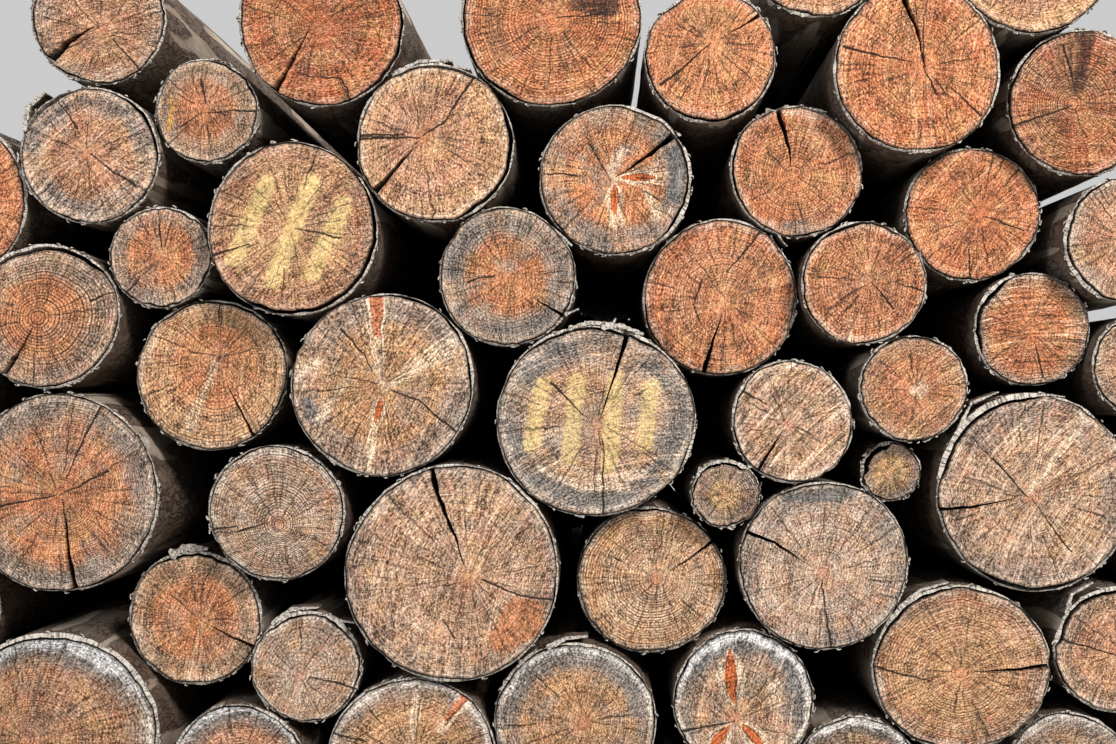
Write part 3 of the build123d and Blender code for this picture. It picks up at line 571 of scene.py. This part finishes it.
def bark_material():
    """Bark in thin scales, grey-brown outside, with weathered wood where it is stripped."""
    material, g = new_material("bark")
    spot = g.moved(g.attribute("skin_spot", 1), g.attribute("log_seed"))
    warped = g.strewn(spot, spot, 9, 2, (0.09, 0.09, 0.09))
    scale_spot = {"Vector": g.vector("MULTIPLY", warped, (1, 0.3, 1)), "Scale": 62}
    scales = g.put("TexVoronoi", scale_spot, feature="DISTANCE_TO_EDGE")
    tint = g.put("SeparateColor", {0: g.put("TexVoronoi", scale_spot, 1)})
    rough = g.noise(spot, 160, 5, 0.7)
    broad = g.noise(spot, 5, 4, 0.6)
    fibre = g.noise(g.vector("MULTIPLY", spot, (1, 0.05, 1)), 260, 4, 0.65)
    open_seam = g.ramp(g.noise(spot, 14, 3), 0.4, 0.6, 0.35, 1)
    seam = g.less(1, g.times(g.ramp(scales, 0, 0.13, 1, 0), open_seam))
    colour = g.mix(tint, (0.090, 0.055, 0.037), (0.175, 0.122, 0.088))
    colour = g.mix(g.ramp(broad, 0.45, 0.65, 0, 0.55), colour, (0.20, 0.172, 0.146))
    colour = g.mix(seam, (0.045, 0.03, 0.022), colour)
    colour = g.shaded(colour, g.fit(rough, 1.3, 0.35))
    bare = g.mix(g.ramp(broad, 0.35, 0.65), (0.30, 0.225, 0.165), (0.43, 0.365, 0.295))
    bare = g.shaded(bare, g.fit(fibre, 1.2, 0.4))
    gone = g.ramp(g.vary(g.attribute("stripped"), rough, 0.6), 0.42, 0.58)
    colour = g.mix(gone, colour, bare)
    # The torn front edge is pale, with dark specks between its fibres.
    frayed = g.ramp(g.noise(spot, 230, 3, 0.7), 0.36, 0.55)
    torn = g.mix(frayed, (0.16, 0.12, 0.095), (0.68, 0.62, 0.55))
    colour = g.mix(g.ramp(g.attribute("lip"), 0.25, 0.6), colour, torn)
    height = g.times(g.fit(rough, 1.4, g.times(seam, 1.3)), g.less(1, gone))
    height = g.plus(height, g.times(g.times(fibre, 0.5), gone))
    finish_material(g, colour, 0.9, height, 0.0025)
    return material


class Trunk:
    """The outline of a log's solid: its centre, its reach in each direction and its taper."""

    def __init__(self, node):
        points = np.array([tuple(vertex.co) for vertex in node.data.vertices])
        self.front, self.back = points[:, 1].min(), points[:, 1].max()
        ring = points[np.abs(points[:, 1] - self.back) < 1e-5][:, (0, 2)]
        ring = np.unique(np.round(ring, 6), axis=0)
        self.centre = ring.mean(axis=0)
        angles, reaches = polar(ring - self.centre)
        order = np.argsort(angles)
        self.angles, self.reaches = angles[order], reaches[order]
        face = points[np.abs(points[:, 1] - self.front) < 1e-5][:, (0, 2)] - self.centre
        self.taper = polar(face)[1].max() / reaches.max()

    def radius(self, angle, depth=0.0):
        """The solid's reach in a direction, this far behind the sawn face."""
        reach = np.interp(angle, self.angles, self.reaches, period=2 * pi)
        along = depth / (self.back - self.front)
        return reach * (self.taper + (1 - self.taper) * along)


def bump_noise(x, y, z=0.0):
    return noise.noise(Vector((x, y, z)))


def round_noise(angle, lobes, seed):
    return bump_noise(lobes * cos(angle), lobes * sin(angle), seed)


def heading(angle):
    return np.array((cos(angle), sin(angle)))


def polar(away):
    """The directions and distances of points."""
    return np.arctan2(away[:, 1], away[:, 0]), np.hypot(away[:, 0], away[:, 1])


def angle_between(angle, other):
    """How far two directions lie apart, whichever is first."""
    return abs((angle - other + pi) % (2 * pi) - pi)


def add_object(name, data):
    piece = bpy.data.objects.new(name, data)
    bpy.context.scene.collection.objects.link(piece)
    return piece


def finish_mesh(mesh, name):
    """The object made of a closed mesh."""
    bmesh.ops.recalc_face_normals(mesh, faces=mesh.faces)
    data = bpy.data.meshes.new(name)
    mesh.to_mesh(data)
    mesh.free()
    return add_object(name, data)


def bridge(mesh, first, second):
    """Faces between two loops of points."""
    for s in range(len(first)):
        t = (s + 1) % len(first)
        mesh.faces.new((first[s], first[t], second[t], second[s]))


def store(mesh, name, kind, values):
    """Keep a number or a vector for every point of a mesh."""
    layer = mesh.attributes.new(name, kind, "POINT")
    values = np.array(values, dtype=np.float32).ravel()
    layer.data.foreach_set("vector" if kind == "FLOAT_VECTOR" else "value", values)


def stations(path, spacing):
    """Points along a path, each with the direction that is square to the path there."""
    points = []
    for first, second in zip(path, path[1:]):
        steps = max(int(np.linalg.norm(second - first) / spacing), 1)
        points += [first + (second - first) * s / steps for s in range(steps)]
    points.append(path[-1])
    squares = []
    for step in range(len(points)):
        ahead = points[min(step + 1, len(points) - 1)] - points[max(step - 1, 0)]
        squares.append(np.array((-ahead[1], ahead[0])) / np.linalg.norm(ahead))
    return list(zip(points, squares))


def bark_at(look, angle, seed):
    """Thickness of the bark at the front edge and the gap behind it, in a direction."""
    thick = BARK * (1 + 0.8 * round_noise(angle, 2, seed) + 0.5 * round_noise(angle, 9, seed))
    gap = SHRUNK * max(0.0, 1 + 1.6 * round_noise(angle, 3, seed + 9))
    for start, end, extra, loose in look.bark:
        middle, half = radians((start + end) / 2), radians((end - start) / 2)
        share = min(max((half - angle_between(angle, middle)) / radians(12) + 0.5, 0), 1)
        thick += share * max(extra * 0.001 - BARK, 0)
        gap += share * loose * 0.001
    return max(thick, 0.0012), gap


def split_nearness(look, angle):
    """1 where a drying split reaches the rim in this direction, 0 away from it."""
    nearest = 0.0
    for _, *path in look.splits:
        x, y = path[-1][0] - look.centre[0], look.centre[1] - path[-1][1]
        nearest = max(nearest, 1 - angle_between(angle, atan2(y, x)) / radians(5))
    return max(nearest, 0.0)


def wood_core(name, trunk, look, seed):
    """A closed core of wood with a gridded end at the front and a plainer one at the back."""
    mesh = bmesh.new()
    pith = (0.0, 0.0)
    if look.centre:
        pith = tuple((look.pith[i] - look.centre[i]) * PIXEL * (1, -1)[i] for i in (0, 1))
    angles = [2 * pi * s / WOOD_SECTORS for s in range(WOOD_SECTORS)]
    edges = []
    for angle in angles:
        thick, gap = bark_at(look, angle, seed)
        edges.append(trunk.radius(angle) - thick - gap - UNEVEN * abs(bump_noise(14 * angle, seed)))

    def ring(depth, radii, middle=(0.0, 0.0), share=1.0):
        verts = []
        for angle, radius in zip(angles, radii):
            x = middle[0] + (radius * cos(angle) - middle[0]) * share
            z = middle[1] + (radius * sin(angle) - middle[1]) * share
            rise = 0.0
            if share < 1:
                rise = UNEVEN * (bump_noise(60 * x, 60 * z, seed) + 0.5)
            verts.append(mesh.verts.new((trunk.centre[0] + x, depth + rise, trunk.centre[1] + z)))
        return verts

    face, heel_face = trunk.front + RECESS, trunk.back - RECESS
    loops = [ring(face + (BEVEL if share == 1 else 0), edges, pith, share) for share in END_RINGS]
    tip = mesh.verts.new((trunk.centre[0] + pith[0], face, trunk.centre[1] + pith[1]))
    for s in range(WOOD_SECTORS):
        mesh.faces.new((tip, loops[0][(s + 1) % WOOD_SECTORS], loops[0][s]))
    for depth in CORE_DEPTHS:
        radii = [e * trunk.radius(0, depth) / trunk.radius(0) - UNEVEN for e in edges]
        loops.append(ring(trunk.front + depth, radii))
    radii = [trunk.radius(a, trunk.back - trunk.front) - BARK - UNEVEN for a in angles]
    loops.append(ring(trunk.back - 0.003, radii))
    for share in (1,) + BACK_RINGS:
        loops.append(ring(heel_face, [r - BEVEL for r in radii], share=share))
    for first, second in zip(loops, loops[1:]):
        bridge(mesh, second, first)
    heel = mesh.verts.new((trunk.centre[0], heel_face, trunk.centre[1]))
    for s in range(WOOD_SECTORS):
        mesh.faces.new((heel, loops[-1][s], loops[-1][(s + 1) % WOOD_SECTORS]))
    return finish_mesh(mesh, name + "_wood"), pith, edges, radii


def split_cutter(split, trunk, look, seed):
    """A ragged blade with the shape of a drying split, narrowing with depth."""
    width, *path = split
    places = [np.array(((x - look.centre[0]) * PIXEL, (look.centre[1] - y) * PIXEL)) for x, y in path]
    places[-1] = places[-1] * SPLIT_OVERRUN
    path = stations(places, 0.012)
    blade = bmesh.new()
    rows = []
    for depth, opening in SPLIT_DEPTHS:
        left, right = [], []
        for step, (point, square) in enumerate(path):
            along = step / (len(path) - 1)
            half = width * PIXEL / 2 * (0.1 + 0.9 * along) * opening
            sway = 0.0022 * bump_noise(90 * point[0], 90 * point[1], seed)
            ragged = 1 + 0.5 * bump_noise(160 * point[0], 160 * point[1], seed + 5)
            for side, row in ((1, left), (-1, right)):
                x, z = point + square * (side * half * ragged + sway)
                row.append(blade.verts.new((trunk.centre[0] + x, trunk.front + depth, trunk.centre[1] + z)))
        rows.append(left + right[::-1])
    for first, second in zip(rows, rows[1:]):
        bridge(blade, first, second)
    blade.faces.new(rows[0][::-1])
    blade.faces.new(rows[-1])
    return finish_mesh(blade, "blade")


def cut(core, cutter):
    """Cut one split into the core and remove the cutter."""
    modifier = core.modifiers.new("split", "BOOLEAN")
    modifier.operation, modifier.solver, modifier.object = "DIFFERENCE", "EXACT", cutter
    bpy.context.view_layer.update()
    evaluated = core.evaluated_get(bpy.context.evaluated_depsgraph_get())
    mesh = bpy.data.meshes.new_from_object(evaluated)
    core.modifiers.clear()
    core.data = mesh
    mesh.name = core.name
    bpy.data.objects.remove(cutter)


def describe_core(core, trunk, pith, edges, back_radii):
    """Give every point of a core its place on the sawn end and its share of the way out."""
    points = np.array([tuple(vertex.co) for vertex in core.data.vertices])
    spot = points[:, (0, 2)] - trunk.centre
    at_back = points[:, 1] > (trunk.front + trunk.back) / 2
    grid = np.linspace(0, 2 * pi, WOOD_SECTORS, endpoint=False)
    out = np.zeros(len(points))
    for back, middle, radii in ((False, np.array(pith), edges), (True, np.zeros(2), back_radii)):
        chosen = at_back == back
        away = spot[chosen] - middle
        # The way out ends where the line from the pith meets the rim, found in a few steps.
        share = polar(away)[1] / np.interp(polar(spot[chosen])[0], grid, radii, period=2 * pi)
        for _ in range(8):
            angle, reach = polar(middle + away / np.maximum(share, 1e-4)[:, None])
            share = share * reach / np.interp(angle, grid, radii, period=2 * pi)
        out[chosen] = share
    depth = np.where(at_back, 0, np.maximum(points[:, 1] - trunk.front - 0.003, 0))
    spots = np.stack((spot[:, 0], spot[:, 1], np.where(at_back, 0.7, 0.0)), axis=1)
    store(core.data, "end_spot", "FLOAT_VECTOR", spots)
    store(core.data, "end_out", "FLOAT", out)
    store(core.data, "end_depth", "FLOAT", depth)


def bark_skin(name, trunk, look, seed, others):
    """The bark: relief cut into the solid's surface, a torn front edge and stripped stretches."""
    length = trunk.back - trunk.front
    depths = SKIN_DEPTHS + tuple(np.linspace(0.9, length, 14))
    angles = [2 * pi * s / BARK_SECTORS for s in range(BARK_SECTORS)]
    mean = float(trunk.reaches.mean())
    verts, places, bare, edge = [], [], [], []
    lips, thicks, gaps = [], [], []
    for angle in angles:
        thick, gap = bark_at(look, angle, seed)
        torn = 0.5 + 0.7 * round_noise(angle, 6, seed + 3) + 0.6 * round_noise(angle, 22, seed + 4)
        lips.append(0.0006 + LIP * min(max(torn, 0), 1.6) + 0.02 * split_nearness(look, angle))
        thicks.append(thick)
        gaps.append(gap)

    def add(radius, angle, depth, gone, lip=0.0):
        verts.append((trunk.centre[0] + radius * cos(angle), trunk.front + depth,
                      trunk.centre[1] + radius * sin(angle)))
        places.append((mean * cos(angle), depth, mean * sin(angle)))
        bare.append(gone)
        edge.append(lip)

    # The inner side of the front edge, from deep in the log to the torn edge.
    for depth, closing in LIP_DEPTHS:
        for angle, lip, thick, gap in zip(angles, lips, thicks, gaps):
            at = lip + 0.0004 + depth
            inner = trunk.radius(angle, at) - thick + HIDDEN - closing * (gap + 0.003)
            add(min(inner, trunk.radius(angle, at) - INSIDE - 0.0006), angle, at, 0.0, 1 - closing)
    for depth in depths:
        for angle, lip, thick in zip(angles, lips, thicks):
            at = lip + depth * (1 - lip / length) if depth < length else length
            x, y, z = 2.4 * cos(angle), at * 1.7, 2.4 * sin(angle)
            gone = bump_noise(x, y, z + seed) + 0.45 * bump_noise(3 * x, 3 * y, 3 * z + seed)
            gone = min(max(gone * 2.2 - 0.15, 0), 1)
            relief = 0.5 + 0.5 * bump_noise(9 * x, 14 * y, 9 * z + seed)
            sunk = INSIDE + 0.0022 * relief * (1 - gone) + gone * (BARK * 0.85)
            add(trunk.radius(angle, at) - sunk, angle, at, gone, max(1 - depth / 0.008, 0))
    rows = len(verts) // BARK_SECTORS
    for angle in angles:
        add(trunk.radius(angle, length) - BARK * 1.2 - 0.004, angle, length - 0.001, 0.0)
    faces = []
    for row in range(rows):
        for s in range(BARK_SECTORS):
            t = (s + 1) % BARK_SECTORS
            here, there = row * BARK_SECTORS, (row + 1) * BARK_SECTORS
            faces.append((here + s, here + t, there + t, there + s))
    whole = len(verts)
    strips = pressed_bark(name, trunk, others)
    if look.centre:
        strips += torn_strips(trunk, look, seed, others)
    add_strips(strips, trunk, seed, verts, faces)
    for x, y, z in verts[whole:]:
        away = np.array((x, z)) - trunk.centre
        places.append((away[0], y - trunk.front, away[1]))
        bare.append(0.0)
        edge.append(max(1 - (y - trunk.front) / 0.01, 0))
    data = bpy.data.meshes.new(name + "_bark")
    data.from_pydata(verts, [], faces)
    data.update()
    store(data, "skin_spot", "FLOAT_VECTOR", places)
    store(data, "stripped", "FLOAT", bare)
    store(data, "lip", "FLOAT", edge)
    store(data, "log_seed", "FLOAT", [seed] * len(verts))
    return add_object(name + "_bark", data)


def torn_strips(trunk, look, seed, others):
    """Loose strips of bark seen edge-on: width, start behind the sawn face, depth and path."""
    strips = []
    for width, *path in look.strips:
        points = [np.array((ACROSS + (x - PHOTO_WIDTH / 2) * PIXEL, UP + (PHOTO_HEIGHT / 2 - y) * PIXEL))
                  - trunk.centre for x, y in path]
        root = atan2(points[0][1], points[0][0])
        points[0] = heading(root) * (trunk.radius(root) - 0.003)
        for place in range(1, len(points)):
            angle = atan2(points[place][1], points[place][0])
            least = trunk.radius(angle) + width * PIXEL * 0.3
            most = trunk.radius(angle) + STANDS_OFF
            reach = min(max(np.hypot(*points[place]), least), most)
            points[place] = heading(angle) * reach
        strips.append((width * PIXEL, 0.003, 0.05, points))
    chance = random.Random(int(seed * 10))
    for _ in range(CHIPS):
        angle = chance.uniform(-pi, pi)
        size = chance.uniform(0.004, 0.011)
        lean = angle + chance.choice((-1, 1)) * radians(chance.uniform(62, 90))
        start = heading(angle) * (trunk.radius(angle) - 0.0015)
        tip = start + size * heading(lean)
        middle = (start + tip) / 2 + 0.15 * size * heading(angle)
        width, depth = chance.uniform(0.0016, 0.0036), chance.uniform(0.006, 0.02)
        strips.append((width, 0.003, depth, [start, middle, tip]))

    def free(point):
        place = trunk.centre + point
        for other in others:
            away = place - other.centre
            if other is not trunk and np.hypot(*away) < other.radius(atan2(away[1], away[0])) + 0.0015:
                return False
        return abs(place[0]) < cad_box[1][0] - 0.004 and 0.006 < place[1] < cad_box[1][2] - 0.004

    return [strip for strip in strips if all(free(point) for point in strip[3])]


def pressed_bark(name, trunk, others):
    """Bark crushed in the seams between logs that touch, and flakes lodged between logs."""
    strips = []
    for width, behind, first, last in LODGED.get(name, ()):
        strips.append((width, behind, 0.004, [np.array(first) - trunk.centre, np.array(last) - trunk.centre]))
    for other in others:
        away = other.centre - trunk.centre
        span = np.hypot(*away)
        reach = trunk.radius(atan2(away[1], away[0]))
        gap = span - reach - other.radius(atan2(-away[1], -away[0]))
        if other is not trunk and away[0] > 0 and gap < 0.006:
            middle, along = away / span * (reach + gap / 2), away / span
            strips.append((0.003, 0.07, trunk.back - trunk.front - 0.14,
                           [middle - along * 0.009, middle + along * 0.009]))
    return strips


def add_strips(strips, trunk, seed, verts, faces):
    """Add the loose strips to the bark's points and faces, each as a closed ragged plate."""
    for width, start, depth, path in strips:
        path = stations(path, 0.006)
        begin = len(verts)
        for step, (point, square) in enumerate(path):
            taper = 1 - 0.6 * step / (len(path) - 1)
            front = start + 0.004 * abs(bump_noise(150 * point[0], 150 * point[1], seed))
            for back in (front, front + depth * 0.4, front + depth):
                half = width / 2 * taper * (1 + 0.9 * bump_noise(260 * point[0], 260 * point[1], back * 90))
                for side in (1, -1):
                    x, z = trunk.centre + point + square * side * half
                    verts.append((x, trunk.front + back, z))
        for step in range(len(path) - 1):
            here, there = begin + 6 * step, begin + 6 * (step + 1)
            for first, second in ((0, 1), (1, 3), (3, 5), (5, 4), (4, 2), (2, 0)):
                faces.append((here + first, here + second, there + second, there + first))
        last = begin + 6 * (len(path) - 1)
        for end, turn in ((begin, 1), (last, -1)):
            faces.append((end, end + 2, end + 3, end + 1)[::turn])
            faces.append((end + 2, end + 4, end + 5, end + 3)[::turn])


def smooth(piece, angle=40):
    """Smooth shading, with edges kept where the surface turns sharply."""
    piece.data.shade_smooth()
    piece.data.set_sharp_from_angle(angle=radians(angle))


def dress_logs():
    end, bark = end_group(), bark_material()
    trunks = {name: Trunk(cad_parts[name]) for name in sorted(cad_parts)}
    for count, (name, trunk) in enumerate(trunks.items()):
        seed = count * 3.7 + 1.3
        look = LOOKS.get(name, PLAIN_LOOKS[count % len(PLAIN_LOOKS)])
        core, pith, edges, back_radii = wood_core(name, trunk, look, seed)
        for split in look.splits:
            cut(core, split_cutter(split, trunk, look, seed))
        describe_core(core, trunk, pith, edges, back_radii)
        core.data.materials.clear()
        core.data.materials.append(wood_material(name, look, float(trunk.reaches.mean()), seed, end))
        smooth(core)
        skin = bark_skin(name, trunk, look, seed, trunks.values())
        skin.data.materials.append(bark)
        smooth(skin, 60)
        for piece, slot in ((core, "sawn_wood"), (skin, "bark")):
            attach(piece, "root")
            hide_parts(name)


def add_camera():
    """The photograph's view: level and square on to the sawn faces."""
    reach = 3.2  # from the lens to the sawn faces
    right, down = 42, 28  # the point that the camera faces, in pixels from the photograph's middle
    face = -1.52  # the sawn faces, about
    data = bpy.data.cameras.new("camera")
    data.sensor_width = 36
    data.sensor_fit = "HORIZONTAL"
    data.lens = data.sensor_width * reach / (PHOTO_WIDTH * PIXEL)
    data.clip_end = 400
    data.shift_x, data.shift_y = -right / PHOTO_WIDTH, down / PHOTO_WIDTH
    camera = add_object("camera", data)
    camera.location = (ACROSS + right * PIXEL, face - reach, UP - down * PIXEL)
    camera.rotation_euler = (radians(90), 0, 0)
    bpy.context.scene.camera = camera


def add_lamp(name, place, target, size, watts, tint):
    data = bpy.data.lights.new(name, "AREA")
    data.size, data.energy, data.color = size, watts, tint
    lamp = add_object(name, data)
    lamp.location = place
    aim = Vector(target) - Vector(place)
    lamp.rotation_euler = aim.to_track_quat("-Z", "Y").to_euler()


def seen_rays(g, hidden, seen):
    """One strength for what the lens, gloss and glass see and another for all other light."""
    share = g.put("LightPath")
    outputs = share.node.outputs
    for title in ("Is Glossy Ray", "Is Transmission Ray"):
        share = g.math("MAXIMUM", share, outputs[title])
    return g.ramp(share, 0.0, 1.0, hidden, seen)


def add_studio():
    """A pale floor that runs to the horizon, soft lamps and a pale sky."""
    mesh = bpy.data.meshes.new("floor")
    side = 150
    mesh.from_pydata([(-side, -side, 0), (side, -side, 0), (side, side, 0), (-side, side, 0)], [],
                     [(0, 1, 2, 3)])
    floor = add_object("floor", mesh)
    material, g = new_material("studio_floor")
    spot = g.put("TexCoord", output=3)
    cloud = g.ramp(g.noise(spot, 0.8, 3.0), 0.3, 0.7)
    colour = g.mix(cloud, (0.50, 0.495, 0.487), (0.53, 0.525, 0.517))
    bump = g.put("Bump", {"Height": g.noise(spot, 30.0, 3.0), "Distance": 0.0005})
    matt = g.put("BsdfDiffuse", {"Color": colour, "Normal": bump})
    # Far off the floor glows a little to the eye, so that it meets the sky softly.
    far = g.ramp(g.vector("LENGTH", spot, output=1), 4.5, 13.0, 0.0, 0.44)
    glow = g.put("Emission", {"Color": (1.0, 0.99, 0.97, 1.0),
                              "Strength": g.times(seen_rays(g, 0.0, 1.0), far)})
    g.show("Material", g.put("AddShader", {0: matt, 1: glow}))
    material.cycles.emission_sampling = "NONE"
    mesh.materials.append(material)
    add_lamp("key", (4.6, -7.6, 6.0), (0, -1.2, 0.9), 2.4, 940, (1.0, 0.97, 0.93))
    add_lamp("fill", (-6.6, -7.2, 4.0), (0, -1.2, 0.9), 4.0, 330, (0.93, 0.96, 1.0))
    add_lamp("top", (0.5, 1.0, 5.5), (0, 0, 0.9), 3.5, 170, (1.0, 1.0, 1.0))
    add_lamp("rear", (-3.5, 6.0, 3.5), (0, 1.0, 0.9), 3.0, 200, (1.0, 0.98, 0.96))
    world = bpy.data.worlds.new("studio")
    bpy.context.scene.world = world
    world.use_nodes = True
    world.node_tree.nodes.clear()
    g = Graph(world.node_tree)
    g.show("World", g.put("Background", {"Color": (1, 1, 1, 1), "Strength": seen_rays(g, 0.24, 0.6)}))


add_camera()
dress_logs()
add_studio()

scene = bpy.context.scene
scene.view_settings.view_transform = "Standard"
scene.cycles.diffuse_bounces = 1
scene.cycles.glossy_bounces = 1
